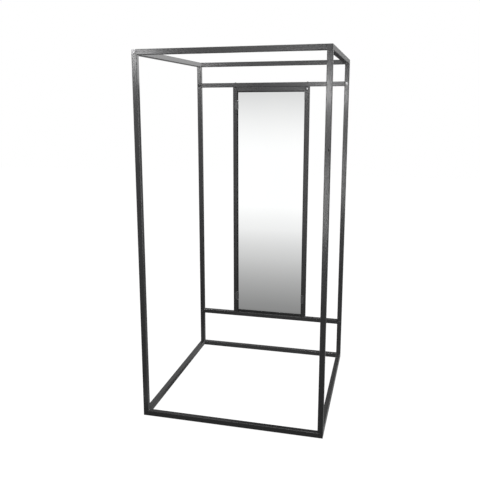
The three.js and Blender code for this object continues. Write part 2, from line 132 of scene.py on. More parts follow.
class Nodes:
    """A shader tree: each node comes from its type, its settings and its sockets' values or links."""

    def __init__(self, tree):
        self.tree = tree

    def node(self, kind, settings=None, *values, output=0, **named):
        made = self.tree.nodes.new(kind)
        for name, value in (settings or {}).items():
            setattr(made, name, value)
        for key, value in [*enumerate(values), *named.items()]:
            self.feed(made.inputs[key], value)
        return Wire(self, made.outputs[output])

    def feed(self, socket, value):
        if isinstance(value, Wire):
            self.tree.links.new(value.socket, socket)
        else:
            socket.default_value = value

    def outputs(self, kind, names, *values):
        """The named outputs of one node."""
        made = self.tree.nodes.new(kind)
        for socket, value in zip(made.inputs, values):
            self.feed(socket, value)
        return [Wire(self, made.outputs[name]) for name in names]

    def axes(self, vector, *names):
        """The named coordinates of a vector."""
        return self.outputs("ShaderNodeSeparateXYZ", names, vector)

    def measured(self, operation, first, second):
        """A number that two vectors give."""
        settings = {"operation": operation}
        return self.node("ShaderNodeVectorMath", settings, first, second, output="Value")

    def ramp(self, factor, stops):
        """A number that runs straight from stop to stop."""
        made = self.tree.nodes.new("ShaderNodeValToRGB")
        elements = made.color_ramp.elements
        while len(elements) < len(stops):
            elements.new(1)
        for element, (position, value) in zip(elements, stops):
            element.position = position
            element.color = (value, value, value, 1)
        self.feed(made.inputs[0], factor)
        return Wire(self, made.outputs[0])

    def mix(self, factor, first, second):
        """Colour between two colours."""
        made = self.tree.nodes.new("ShaderNodeMix")
        made.data_type = "RGBA"
        for index, value in zip(MIX_INPUTS, (factor, first, second)):
            self.feed(made.inputs[index], value)
        return Wire(self, made.outputs[MIX_OUTPUT])


class Finish(Nodes):
    """One procedural material on a Principled shader."""

    def __init__(self, name, **constants):
        self.material = bpy.data.materials.new(name)
        self.material.use_nodes = True
        super().__init__(self.material.node_tree)
        self.shader = self.tree.nodes["Principled BSDF"]
        self.set(**constants)

    def set(self, **values):
        for name, value in values.items():
            self.feed(self.shader.inputs[name.replace("_", " ")], value)

    def place(self):
        return self.node("ShaderNodeTexCoord", output="Object")

    def stretched(self, scale):
        return self.node("ShaderNodeMapping", None, Vector=self.place(), Scale=scale)

    def noise(self, scale, detail=3.0, vector=None):
        sockets = {"Vector": vector or self.place(), "Scale": scale, "Detail": detail}
        return self.node("ShaderNodeTexNoise", None, **sockets)

    def waves(self, axis, scale):
        settings = {"bands_direction": axis}
        return self.node("ShaderNodeTexWave", settings, Vector=self.place(), Scale=scale)

    def bump(self, height, distance, strength=1.0, normal=None):
        sockets = {"Height": height, "Distance": distance, "Strength": strength}
        if normal is not None:
            sockets["Normal"] = normal
        return self.node("ShaderNodeBump", None, **sockets)

    def soft_edges(self, radius):
        return self.node("ShaderNodeBevel", {"samples": 6}, Radius=radius)

    def edge_mask(self, radius):
        """1 on edges and rounded corners, 0 on flats."""
        rounded = self.soft_edges(radius)
        flat = self.node("ShaderNodeNewGeometry", output="Normal")
        return 1.0 - self.measured("DOT_PRODUCT", rounded, flat)


def grey(level):
    return (level, level, level * 1.02, 1)


# Lacquer: the coat's greys, what wear, painted highlight and painted shade make of them, and where those lie
COAT_GREYS = (0.056, 0.068)
# Paler grey round the top front left corner: part wear, part painted highlight
RUBBED_HIGHLIGHT_GREY = 0.1
# Painted shade: the grey that the front bottom rail darkens to near the floor
FOOT_SHADE_GREY = 0.028
BARE_GREY = 0.6
COAT_METALLIC = 0.62
BARE_METALLIC = 0.92
BARE_ROUGHENING = 0.08
COAT_WEIGHT = 0.3
COAT_ROUGHNESS = 0.14
# Painted shade: factors that darken the lacquer on the mirror's stiles and channel
STILE_PAINTED_SHADE = 0.75
CHANNEL_PAINTED_SHADE = 0.6
EDGE_WIDTH = 1.4 * MM
CHIP_BORDER = 0.1
# The top front left corner, where wear and a painted highlight and glint are centred
WORN_HIGHLIT_CORNER = Vector((cad_bounds[0].x, cad_bounds[0].y, cad_bounds[1].z))
RUBBED_HIGHLIGHT_REACH = 300 * MM
BARE_GLINT_REACH = 34 * MM
# Painted shade: heights and depths over which the front bottom rail darkens towards the floor
FOOT_SHADE_HEIGHTS = (30 * MM, 120 * MM)
FOOT_SHADE_DEPTHS = (-560 * MM, -500 * MM)


def worn_and_highlit_corner(finish, reach):
    """1 at the booth's top front left corner, where hands and transport have worn it and where a highlight is
    painted, 0 at the reach.
    """
    distance = finish.measured("DISTANCE", finish.place(), WORN_HIGHLIT_CORNER)
    return 1.0 - (distance / reach).step(0, 1)


def chipped_edges(finish, scale, start):
    """1 on ragged patches of the edges, more of them where the start is lower."""
    ragged = finish.noise(scale) * 1.6 * finish.edge_mask(EDGE_WIDTH)
    return ragged.step(start, start + CHIP_BORDER)


def lacquer(finish, tone, chips, roughness, painted_shade=1.0):
    """Dark lacquer with a clear coat, paler near the top front left corner (wear and painted highlight), bare
    at its tip (wear and painted glint) and on chips, and darker on the front bottom rail towards the floor
    (painted shade)."""
    depth, height = finish.axes(finish.place(), "Y", "Z")
    # Painted shade: the front bottom rail darkens towards the floor
    painted_foot_shade = (1.0 - height.step(*FOOT_SHADE_HEIGHTS)) * (1.0 - depth.step(*FOOT_SHADE_DEPTHS))
    # The coat's greys, darkened by the factor as painted shade
    dark, pale = (grey(level * painted_shade) for level in COAT_GREYS)
    coat = finish.mix(painted_foot_shade, finish.mix(tone, dark, pale), grey(FOOT_SHADE_GREY))
    # Paler patch round the top front left corner: part wear, part painted highlight
    rubbed = finish.mix(worn_and_highlit_corner(finish, RUBBED_HIGHLIGHT_REACH) ** 2 * 0.5, coat, grey(RUBBED_HIGHLIGHT_GREY))
    ragged = finish.noise(scale=160.0) * 0.5 + 0.75
    # Bare tip at the corner: part wear, part painted glint
    tip = (worn_and_highlit_corner(finish, BARE_GLINT_REACH) * ragged).step(0.16, 0.3)
    bare = tip + chips * (1.0 - tip)
    finish.set(Base_Color=finish.mix(bare, rubbed, grey(BARE_GREY)))
    finish.set(Metallic=between(bare, COAT_METALLIC, BARE_METALLIC))
    finish.set(Roughness=roughness + bare * BARE_ROUGHENING)
    finish.set(Coat_Weight=(1.0 - bare) * COAT_WEIGHT, Coat_Roughness=COAT_ROUGHNESS)


def coated_steel(name, along, painted_shade=1.0):
    """Lacquer on drawn steel: cloudy, with faint streaks along the tube's axis and worn edges, its greys
    darkened by the factor as painted shade.
    """
    finish = Finish(name)
    streak_scale = [160.0, 160.0, 160.0]
    streak_scale["xyz".index(along)] = 3.0
    streaks = finish.noise(scale=1.0, detail=4.0, vector=finish.stretched(streak_scale))
    clouds = finish.noise(scale=7.0, detail=4.0)
    chips = chipped_edges(finish, scale=90.0, start=0.3) * 0.5
    tone = (clouds * 0.75 + streaks * 0.25).step(0.25, 0.75)
    lacquer(finish, tone, chips, 0.23 + clouds * 0.04 + streaks * 0.03, painted_shade)
    edges = finish.soft_edges(EDGE_WIDTH)
    finish.set(Normal=finish.bump(streaks, distance=0.02 * MM, strength=0.3, normal=edges))
    return finish.material


def cast_block():
    """Lacquer on die-cast metal: a little more matt, with a fine skin."""
    finish = Finish("cast_block")
    skin = finish.noise(scale=520.0)
    clouds = finish.noise(scale=14.0)
    chips = chipped_edges(finish, scale=110.0, start=0.26) * 0.6
    lacquer(finish, clouds.step(0.35, 0.65), chips, 0.25 + clouds * 0.1)
    edges = finish.soft_edges(EDGE_WIDTH)
    finish.set(Normal=finish.bump(skin, distance=0.03 * MM, strength=0.4, normal=edges))
    return finish.material


# Other finishes
def bright_plate():
    finish = Finish("bright_plate", Metallic=1.0)
    scuffs = finish.noise(scale=700.0, detail=4.0)
    finish.set(Base_Color=finish.mix(scuffs, grey(0.62), grey(0.86)))
    finish.set(Roughness=0.24 + scuffs * 0.16)
    return finish.material


def black_oxide():
    finish = Finish("black_oxide", Metallic=0.8)
    bloom = finish.noise(scale=240.0, detail=4.0)
    finish.set(Base_Color=finish.mix(bloom, grey(0.022), grey(0.06)))
    finish.set(Roughness=0.34 + bloom * 0.18)
    return finish.material


def zinc_plate():
    """Dulled grey plating with a faint roll grain, rubbed bright where the mesh carries wear."""
    finish = Finish("zinc_plate", Metallic=0.9)
    grain = finish.noise(scale=1.0, vector=finish.stretched((900.0, 900.0, 40.0)))
    clouds = finish.noise(scale=60.0)
    wear = finish.node("ShaderNodeAttribute", {"attribute_name": "wear"}, output="Fac")
    dulled = finish.mix(clouds, grey(0.11), grey(0.17))
    finish.set(Base_Color=finish.mix(wear * (clouds + 0.4), dulled, grey(0.7)))
    finish.set(Roughness=0.3 + grain * 0.16)
    finish.set(Normal=finish.bump(grain, distance=0.02 * MM, strength=0.5))
    return finish.material


def milled_steel():
    finish = Finish("milled_steel", Metallic=1.0)
    marks = finish.noise(scale=1.0, vector=finish.stretched((30.0, 800.0, 800.0)))
    finish.set(Base_Color=finish.mix(marks, grey(0.32), grey(0.5)), Roughness=0.3 + marks * 0.2)
    finish.set(Normal=finish.bump(marks, distance=0.03 * MM, strength=0.6))
    return finish.material


def silvered_glass():
    """Mirror with a faint haze that wiping leaves."""
    finish = Finish("silvered_glass", Metallic=1.0)
    haze = finish.noise(scale=5.0, detail=5.0, vector=finish.stretched((1.0, 1.0, 0.45)))
    finish.set(Base_Color=finish.mix(haze, (0.93, 0.94, 0.94, 1), (0.96, 0.965, 0.96, 1)))
    finish.set(Roughness=haze.step(0.45, 0.75) * 0.03 + 0.012)
    return finish.material


def hardboard():
    """Brown fibreboard, its back pressed with a fine screen."""
    finish = Finish("hardboard", Specular_IOR_Level=0.25)
    fibres = finish.noise(scale=1.0, detail=5.0, vector=finish.stretched((260.0, 260.0, 90.0)))
    blotches = finish.noise(scale=9.0, detail=4.0)
    screen = finish.waves("X", scale=110.0) * finish.waves("Z", scale=110.0)
    tone = fibres * 0.6 + blotches * 0.4
    dark_brown = (0.105, 0.062, 0.036, 1)
    pale_brown = (0.2, 0.128, 0.076, 1)
    finish.set(Base_Color=finish.mix(tone.step(0.35, 0.65), dark_brown, pale_brown))
    finish.set(Roughness=0.68 + fibres * 0.18)
    relief = screen * 0.7 + fibres * 0.3
    finish.set(Normal=finish.bump(relief, distance=0.25 * MM, strength=0.7))
    return finish.material


def edge_rubber():
    finish = Finish("gasket_rubber", Specular_IOR_Level=0.35)
    dust = finish.noise(scale=130.0, detail=4.0)
    finish.set(Base_Color=finish.mix(dust.step(0.5, 0.8), grey(0.007), grey(0.028)))
    finish.set(Roughness=0.62 + dust * 0.2)
    finish.set(Normal=finish.bump(dust, distance=0.05 * MM, strength=0.5))
    return finish.material


def nylon():
    finish = Finish("nylon", Specular_IOR_Level=0.4)
    grain = finish.noise(scale=500.0)
    finish.set(Base_Color=finish.mix(grain, grey(0.012), grey(0.022)), Roughness=0.5 + grain * 0.15)
    return finish.material


def weld_metal():
    finish = Finish("weld_metal", Metallic=0.7)
    scale = finish.noise(scale=300.0, detail=4.0)
    finish.set(Base_Color=finish.mix(scale, grey(0.03), grey(0.09)), Roughness=0.36 + scale * 0.2)
    finish.set(Normal=finish.bump(scale, distance=0.08 * MM, strength=0.6))
    return finish.material


FINISHES = {
    "tube_x": coated_steel("coated_steel_along_x", "x"),
    "tube_y": coated_steel("coated_steel_along_y", "y"),
    "tube_z": coated_steel("coated_steel_along_z", "z"),
    # Darker copies of the lacquer, as painted shade, for the mirror's stiles and channel
    "stile": coated_steel("coated_stile_painted_shade", "z", STILE_PAINTED_SHADE),
    "channel": coated_steel("coated_channel_painted_shade", "x", CHANNEL_PAINTED_SHADE),
    "block": cast_block(),
    "bright": bright_plate(),
    "black": black_oxide(),
    "zinc": zinc_plate(),
    "milled": milled_steel(),
    "glass": silvered_glass(),
    "board": hardboard(),
    "rubber": edge_rubber(),
    "nylon": nylon(),
    "weld": weld_metal(),
}

# Which finish each kind of solid takes: the first line whose text its name starts with
NODE_FINISHES = {
    "corner_": "block",
    "post_": "tube_z",
    "top_rail_front": "tube_x",
    "top_rail_back": "tube_x",
    "bottom_rail_front": "tube_x",
    "bottom_rail_back": "tube_x",
    "top_rail_": "tube_y",
    "bottom_rail_": "tube_y",
    "crossbar_joiner_": "milled",
    "crossbar_bolt_": "bright",
    "crossbar_": "tube_x",
    "mirror_head_rail": "tube_x",
    "mirror_stile_": "stile",
    "mirror_stop_": "tube_z",
    "mirror_channel": "channel",
    "mirror_clip_": "zinc",
    "mirror_glass": "glass",
    "mirror_backing_board": "board",
    "mirror_edge_gasket": "rubber",
    "stile_plug_": "nylon",
    "stile_screw_": "bright",
    "stile_bolt_": "black",
    "clip_screw_": "bright",
}


def dress_nodes():
    for name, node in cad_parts.items():
        start = next(start for start in NODE_FINISHES if name.startswith(start))
        node.data.materials.clear()
        node.data.materials.append(FINISHES[NODE_FINISHES[start]])


# Mesh tools
def new_piece(name, mesh):
    piece = bpy.data.objects.new(name, mesh)
    bpy.context.scene.collection.objects.link(piece)
    return piece


def closed_mesh(name, made):
    """Turns a finished bmesh into a mesh, its faces all facing out."""
    bmesh.ops.recalc_face_normals(made, faces=made.faces)
    mesh = bpy.data.meshes.new(name)
    made.to_mesh(mesh)
    made.free()
    return mesh


def shade_smooth(mesh, sharp_degrees):
    for polygon in mesh.polygons:
        polygon.use_smooth = True
    mesh.set_sharp_from_angle(angle=math.radians(sharp_degrees))


def soften_edges(piece, width, angle_degrees):
    """Rounds a piece's edges that are sharper than the angle, and shades the rest smooth."""
    bevel = piece.modifiers.new("soft_edges", "BEVEL")
    bevel.width = width
    bevel.segments = 2
    bevel.limit_method = "ANGLE"
    bevel.angle_limit = math.radians(angle_degrees)
    shade_smooth(piece.data, sharp_degrees=40)


def hexagon_radius(angle, flat_radius):
    sixth = math.pi / 3
    return flat_radius / math.cos((angle + sixth / 2) % sixth - sixth / 2)


def turned_mesh(name, rings, segments=24):
    """Closed mesh from rings of (radius, height, is_hexagon), from one tip on the axis to the other."""
    made = bmesh.new()
    loops = []
    for radius, height, is_hexagon in rings:
        if radius == 0:
            loops.append([made.verts.new((0, 0, height))])
            continue
        loop = []
        for index in range(segments):
            angle = index / segments * 2 * math.pi
            reach = hexagon_radius(angle, radius) if is_hexagon else radius
            loop.append(made.verts.new((reach * math.cos(angle), reach * math.sin(angle), height)))
        loops.append(loop)
    for low, high in zip(loops, loops[1:]):
        for index in range(segments):
            after = (index + 1) % segments
            corners = [low[index % len(low)], low[after % len(low)]]
            corners += [high[after % len(high)], high[index % len(high)]]
            made.faces.new(list(dict.fromkeys(corners)))
    mesh = closed_mesh(name, made)
    shade_smooth(mesh, sharp_degrees=35)
    return mesh


# Geometry node trees
class Builder:
    """A geometry node tree with named inputs."""

    def __init__(self, name, inputs):
        self.tree = bpy.data.node_groups.new(name, "GeometryNodeTree")
        self.tree.interface.new_socket("Geometry", in_out="INPUT", socket_type="NodeSocketGeometry")
        for label, kind in inputs.items():
            self.tree.interface.new_socket(label, in_out="INPUT", socket_type=f"NodeSocket{kind}")
        self.tree.interface.new_socket("Geometry", in_out="OUTPUT", socket_type="NodeSocketGeometry")
        self.given = self.tree.nodes.new("NodeGroupInput").outputs
        self.result = self.tree.nodes.new("NodeGroupOutput")

    def node(self, kind, settings=None, **sockets):
        made = self.tree.nodes.new(kind)
        for name, value in (settings or {}).items():
            setattr(made, name, value)
        for name, value in sockets.items():
            self.feed(made.inputs[name.replace("_", " ")], value)
        return made

    def feed(self, socket, value):
        if isinstance(value, bpy.types.NodeSocket):
            self.tree.links.new(value, socket)
        else:
            socket.default_value = value

    def math(self, operation, first, second=0.0):
        made = self.node("ShaderNodeMath", {"operation": operation})
        self.feed(made.inputs[0], first)
        self.feed(made.inputs[1], second)
        return made.outputs[0]

    def finish(self, geometry, material):
        realized = self.node("GeometryNodeRealizeInstances", Geometry=geometry)
        coated = self.node("GeometryNodeSetMaterial", Geometry=realized.outputs[0], Material=material)
        self.tree.links.new(coated.outputs[0], self.result.inputs[0])
        return self.tree


def grown(name, seed_mesh, tree, values):
    """Runs a tree on a mesh and keeps the result as a plain mesh piece on the root body."""
    seed = new_piece(f"{name}_seed", seed_mesh)
    modifier = seed.modifiers.new(tree.name, "NODES")
    modifier.node_group = tree
    for item in tree.interface.items_tree:
        if item.in_out == "INPUT" and item.name in values:
            modifier[item.identifier] = values[item.name]
    depsgraph = bpy.context.evaluated_depsgraph_get()
    mesh = bpy.data.meshes.new_from_object(seed.evaluated_get(depsgraph), depsgraph=depsgraph)
    bpy.data.objects.remove(seed)
    mesh.name = name
    piece = new_piece(name, mesh)
    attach(piece, "root")
    return piece


# Screws
class ScrewSizes(NamedTuple):
    """Width and length of a screw's head, shank and hexagon socket, as in the solids. The lock screw has
    no solid, and its head and shank are those of its hole."""

    head: tuple
    shank: tuple
    socket: tuple


LOCK_SCREW = ScrewSizes(head=(9 * MM, 2.4 * MM), shank=(5 * MM, 13 * MM), socket=(3 * MM, 1.6 * MM))
CROSSBAR_BOLT = ScrewSizes(head=(18 * MM, 5 * MM), shank=(8 * MM, 26 * MM), socket=(5 * MM, 2.6 * MM))
STILE_SCREW = ScrewSizes(head=(12 * MM, 3.2 * MM), shank=(5 * MM, 8 * MM), socket=(3 * MM, 1.8 * MM))
CLIP_SCREW = ScrewSizes(head=(7.5 * MM, 2.4 * MM), shank=(4 * MM, 12 * MM), socket=(2 * MM, 1.2 * MM))
STILE_BOLT = ScrewSizes(head=(11 * MM, 3.3 * MM), shank=(6 * MM, 44 * MM), socket=(4 * MM, 2 * MM))
LOCK_SET_BACK = 22 * MM  # from a tube's end to its lock screw
LOCK_SINK = 0.25 * MM
LOCK_FIT = 0.25 * MM
LOCK_CHAMFER = 0.15 * MM

# A domed head's shape, as shares of its height and of the quarter turn that its crown covers
RIM_SHARE = 0.22
CHAMFER_SHARE = 0.06
CROWN_SHARE = 0.72
CROWN_STEPS = 8

# Round a socket, as shares of its radius: where the crown ends and where the flat round the mouth begins
CROWN_END_SHARE = 1.35
FLAT_SHARE = 1.3
# How deep the drilled point under a socket lies, as a share of the socket's depth
DRILL_POINT_SHARE = 1.15

# Where a Random Value node keeps a number's maximum and its result
RANDOM_MAXIMUM_INPUT = 3
RANDOM_OUTPUT = 1


def socket_rings(width, depth, top, chamfer, mouth_share):
    """Rings of a hexagon socket, from the flat round its mouth down to its drilled point."""
    radius = width / 2
    return [
        (radius * FLAT_SHARE, top, False),
        (radius * mouth_share, top, True),
        (radius, top - chamfer, True),
        (radius, top - depth, True),
        (0, top - depth * DRILL_POINT_SHARE, False),
    ]


def domed_screw(name, sizes):
    """Button head with a hexagon socket. Height 0 is the face that the screw is driven into."""
    head_diameter, head_height = sizes.head
    shank_diameter, length = sizes.shank
    socket_width, socket_depth = sizes.socket
    head_radius = head_diameter / 2
    shank_radius = shank_diameter / 2
    chamfer = head_height * CHAMFER_SHARE
    rim = head_height * RIM_SHARE
    low = SEAT_GAP
    top = low + head_height
    rings = [(0, -length, False), (shank_radius - chamfer, -length, False)]
    rings += [(shank_radius, -length + chamfer, False), (shank_radius, low, False)]
    rings += [(head_radius - chamfer, low, False), (head_radius, low + chamfer, False)]
    crown_turn = math.pi / 2 * CROWN_SHARE
    for step in range(CROWN_STEPS + 1):
        turn = step / CROWN_STEPS * crown_turn
        radius = head_radius * math.cos(turn)
        height = low + rim + (head_height - rim) * math.sin(turn) / math.sin(crown_turn)
        if radius > socket_width / 2 * CROWN_END_SHARE:
            rings.append((radius, height, False))
    rings += socket_rings(socket_width, socket_depth, top, chamfer, mouth_share=1.02)
    return turned_mesh(name, rings)


def countersunk_screw(name, sizes):
    """Flat head that ends just below the tube's face, at height 0, with a hexagon socket."""
    head_diameter, head_depth = sizes.head
    shank_diameter, length = sizes.shank
    socket_width, socket_depth = sizes.socket
    head_radius = head_diameter / 2 - LOCK_FIT
    shank_radius = shank_diameter / 2 - LOCK_FIT
    rings = [(0, -length, False), (shank_radius, -length, False), (shank_radius, -head_depth, False)]
    rings.append((head_radius, -LOCK_SINK - LOCK_CHAMFER, False))
    rings.append((head_radius - LOCK_CHAMFER, -LOCK_SINK, False))
    rings += socket_rings(socket_width, socket_depth, -LOCK_SINK, LOCK_CHAMFER, mouth_share=1.03)
    return turned_mesh(name, rings)


def screw_tree():
    """Puts a screw on each point, its head out along the point's outward direction, turned at random."""
    builder = Builder("screws_on_sites", {"Screw": "Object", "Material": "Material", "Seed": "Int"})
    given = builder.given
    screw = builder.node("GeometryNodeObjectInfo", Object=given["Screw"])
    settings = {"data_type": "FLOAT_VECTOR"}
    outward = builder.node("GeometryNodeInputNamedAttribute", settings, Name="outward")
    settings = {"axis": "Z"}
    facing = builder.node("FunctionNodeAlignRotationToVector", settings, Vector=outward.outputs[0])
    turn = builder.node("FunctionNodeRandomValue", {"data_type": "FLOAT"}, Seed=given["Seed"])
    turn.inputs[RANDOM_MAXIMUM_INPUT].default_value = 2 * math.pi
    sockets = {"Axis": (0, 0, 1), "Angle": turn.outputs[RANDOM_OUTPUT]}
    about = builder.node("FunctionNodeAxisAngleToRotation", **sockets)
    sockets = {"Rotation": facing.outputs[0], "Rotate_By": about.outputs[0]}
    turned = builder.node("FunctionNodeRotateRotation", {"rotation_space": "LOCAL"}, **sockets)
    sockets = {"Points": given["Geometry"], "Instance": screw.outputs["Geometry"]}
    sockets["Rotation"] = turned.outputs[0]
    instances = builder.node("GeometryNodeInstanceOnPoints", **sockets)
    return builder.finish(instances.outputs[0], given["Material"])


SCREW_TREE = screw_tree()


def corner_cube(name, signs):
    """Middle of a corner block's cube, from the block's outermost corner."""
    low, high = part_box(name)
    outer = [high[axis] if signs[axis] > 0 else low[axis] for axis in range(3)]
    return Vector(outer) - Vector(signs) * TUBE_SIDE / 2


def lock_sites():
    """Rails are screwed from above or below, posts from behind."""
    for level, z in (("bottom", -1), ("top", 1)):
        for face, y in (("front", -1), ("back", 1)):
            for side, x in SIDES.items():
                signs = (x, y, z)
                cube = corner_cube(f"corner_{level}_{face}_{side}", signs)
                for axis in range(3):
                    is_post = axis == 2
                    outward = Vector((0, 1, 0)) if is_post else Vector((0, 0, z))
                    place = cube + outward * TUBE_SIDE / 2
                    place[axis] -= signs[axis] * (TUBE_SIDE / 2 + SEAM_GAP + LOCK_SET_BACK)
                    yield place, outward


def head_site(name, outward):
    """Where a CAD screw's head ends: its middle, moved out to the end of the screw's box."""
    low, high = (Vector(corner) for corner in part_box(name))
    place = (low + high) / 2
    axis = next(index for index in range(3) if outward[index])
    place[axis] = high[axis] if outward[axis] > 0 else low[axis]
    return place


def seated(names, outward, sizes):
    """Sites of CAD screws: the face under each head."""
    head_height = sizes.head[1]
    for name in names:
        yield head_site(name, outward) - outward * (head_height + SEAT_GAP), outward


def sites_mesh(name, sites):
    """Loose points that carry their outward direction."""
    places, outwards = zip(*sites)
    mesh = bpy.data.meshes.new(name)
    mesh.from_pydata(places, [], [])
    directions = mesh.attributes.new("outward", "FLOAT_VECTOR", "POINT")
    for item, outward in zip(directions.data, outwards):
        item.vector = outward
    return mesh


def screws(name, master_mesh, sites, finish, seed, stands_for=()):
    """One piece with a copy of the master at every site."""
    master = new_piece(f"{name}_master", master_mesh)
    values = {"Screw": master, "Material": FINISHES[finish], "Seed": seed}
    piece = grown(name, sites_mesh(f"{name}_sites", sites), SCREW_TREE, values)
    bpy.data.objects.remove(master)
    if stands_for:
        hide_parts(*stands_for)


def make_lock_screws():
    master = countersunk_screw("lock_screw", LOCK_SCREW)
    screws("lock_screws", master, lock_sites(), "black", seed=1)


def make_crossbar_bolts():
    """The upper right bolt is bright, as in the photograph, and the others are lacquered."""
    all_names = [f"crossbar_bolt_{level}_{side}" for level in LEVELS for side in SIDES]
    bright_names = [name for name in all_names if name.endswith("upper_right")]
    dark_names = [name for name in all_names if name not in bright_names]
    for label, finish, slot, names in (
        ("bright_crossbar_bolt", "bright", "bright_screw", bright_names),
        ("dark_crossbar_bolts", "block", "dark_screw", dark_names),
    ):
        master = domed_screw(f"{label}_shape", CROSSBAR_BOLT)
        sites = seated(names, FORWARD, CROSSBAR_BOLT)
        screws(label, master, sites, finish, seed=2, stands_for=names)


def make_stile_screws():
    for side, finish, slot in (("left", "zinc", "dark_screw"), ("right", "bright", "bright_screw")):
        names = [f"stile_screw_{side}"]
        master = domed_screw(f"{side}_stile_screw_shape", STILE_SCREW)
        sites = seated(names, FORWARD, STILE_SCREW)
        screws(f"{side}_stile_screw", master, sites, finish, seed=3, stands_for=names)


def make_clip_screws():
    clips = [f"{level}_{side}" for level in LEVELS for side in SIDES]
    names = [f"clip_screw_{clip}_{end}" for clip in clips for end in ("bottom", "top")]
    master = domed_screw("clip_screw", CLIP_SCREW)
    sites = seated(names, FORWARD, CLIP_SCREW)
    screws("clip_screws", master, sites, "zinc", seed=4, stands_for=names)


def make_stile_bolts():
    upper, lower = ([f"stile_bolt_{level}_{side}" for side in SIDES] for level in LEVELS)
    master = domed_screw("stile_bolt", STILE_BOLT)
    sites = [*seated(upper, UPWARD, STILE_BOLT), *seated(lower, -UPWARD, STILE_BOLT)]
    screws("stile_bolts", master, sites, "black", seed=5, stands_for=upper + lower)


# Clips with bent corners
CLIP_THICKNESS = 1.8 * MM
CLIP_INSIDE_RADIUS = 0.6 * MM
CLIP_OUTSIDE_RADIUS = 2.1 * MM
CLIP_FOOT = 3.5 * MM  # over the panel
WORN_END = 4 * MM  # how far wear reaches from a clip's ends
WORN_WEB_SHARE = 1.1  # of the thickness, from the web's inner side, that wear still covers


def bent_outline(points, radii, steps=5):
    """Points of a closed outline with square corners, rounded by the given radii, 0 where they stay sharp."""
    outline = []
    for index, (point, radius) in enumerate(zip(points, radii)):
        corner = Vector(point)
        if radius == 0:
            outline.append(corner)
            continue
        before = (Vector(points[index - 1]) - corner).normalized()
        after = (Vector(points[(index + 1) % len(points)]) - corner).normalized()
        centre = corner + (before + after) * radius
        for step in range(steps + 1):
            turn = step / steps * math.pi / 2
            outline.append(centre - after * radius * math.cos(turn) - before * radius * math.sin(turn))
    return outline


def clip_mesh(name, side):
    """Flange on the stile, web back along it and foot over the glass, with its place from the solid."""
    low, high = (Vector(corner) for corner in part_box(name))
    outer_x, inner_x = (low.x, high.x) if side < 0 else (high.x, low.x)
    front_y, back_y = low.y, high.y
    web_x = inner_x + side * CLIP_FOOT
    thick = CLIP_THICKNESS
    points = [
        (outer_x, front_y + thick),
        (outer_x, front_y),
        (web_x, front_y),
        (web_x, back_y - thick),
        (inner_x, back_y - thick),
        (inner_x, back_y),
        (web_x + side * thick, back_y),
        (web_x + side * thick, front_y + thick),
    ]
    bend = [CLIP_OUTSIDE_RADIUS, CLIP_INSIDE_RADIUS]
    outline = bent_outline(points, [0, 0, *bend, 0, 0, *bend])
    made = bmesh.new()
    wear = made.verts.layers.float.new("wear")
    loops = []
    for z, end_wear in ((low.z, 1), (low.z + WORN_END, 0), (high.z - WORN_END, 0), (high.z, 1)):
        loop = [made.verts.new((x, y, z)) for x, y in outline]
        for vert in loop:
            is_worn_side = side * vert.co.x < side * web_x + thick * WORN_WEB_SHARE
            vert[wear] = end_wear * is_worn_side
        loops.append(loop)
    for lower, upper in zip(loops, loops[1:]):
        for index in range(len(outline)):
            after = (index + 1) % len(outline)
            made.faces.new((lower[index], lower[after], upper[after], upper[index]))
    made.faces.new(loops[0])
    made.faces.new(loops[-1])
    mesh = closed_mesh(f"{name}_bent", made)
    mesh.materials.append(FINISHES["zinc"])
    return mesh


def make_clips():
    for level in LEVELS:
        for side, sign in SIDES.items():
            node = f"mirror_clip_{level}_{side}"
            piece = new_piece(f"bent_clip_{level}_{side}", clip_mesh(node, sign))
            soften_edges(piece, width=0.25 * MM, angle_degrees=50)
            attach(piece, "root")
            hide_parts(node)


# Rubber edge of the mirror panel, with a fin that closes the gap to the frame round it
RUBBER_WALL = 1.2 * MM
RUBBER_LIP = 2.2 * MM
FIN_THICKNESS = 0.7 * MM
FIN_CLEARANCE = 0.05 * MM


def rubber_outline(front, back, reach):
    """Section of the rubber: outward distance from its outer face, and depth."""
    window = -(RUBBER_WALL + SEAT_GAP + RUBBER_LIP)
    middle = (front + back) / 2
    root = FIN_THICKNESS
    tip = FIN_THICKNESS / 2
    return [
        (window, front),
        (0, front),
        (0, middle - root),
        (reach, middle - tip),
        (reach, middle + tip),
        (0, middle + root),
        (0, back),
        (window, back),
        (window, back - RUBBER_WALL),
        (-RUBBER_WALL, back - RUBBER_WALL),
        (-RUBBER_WALL, front + RUBBER_WALL),
        (window, front + RUBBER_WALL),
    ]


def rubber_mesh(name):
    """Sweeps the section round the panel with mitred corners. The foot, in the channel, has no fin."""
    low, high = (Vector(corner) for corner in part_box("mirror_edge_gasket"))
    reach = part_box("mirror_head_rail")[0][2] - high.z - FIN_CLEARANCE
    made = bmesh.new()
    rings = []
    for out, y in rubber_outline(low.y, high.y, reach):
        left, right = low.x - out, high.x + out
        foot, head = low.z - min(out, 0), high.z + out
        corners = [(left, foot), (right, foot), (right, head), (left, head)]
        rings.append([made.verts.new((x, y, z)) for x, z in corners])
    for ring, after in zip(rings, rings[1:] + rings[:1]):
        for index in range(len(ring)):
            beside = (index + 1) % len(ring)
            made.faces.new((ring[index], ring[beside], after[beside], after[index]))
    mesh = closed_mesh(name, made)
    mesh.materials.append(FINISHES["rubber"])
    return mesh


def make_edge_rubber():
    piece = new_piece("finned_edge_rubber", rubber_mesh("finned_edge_rubber"))
    soften_edges(piece, width=0.15 * MM, angle_degrees=40)
    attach(piece, "root")
    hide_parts("mirror_edge_gasket")


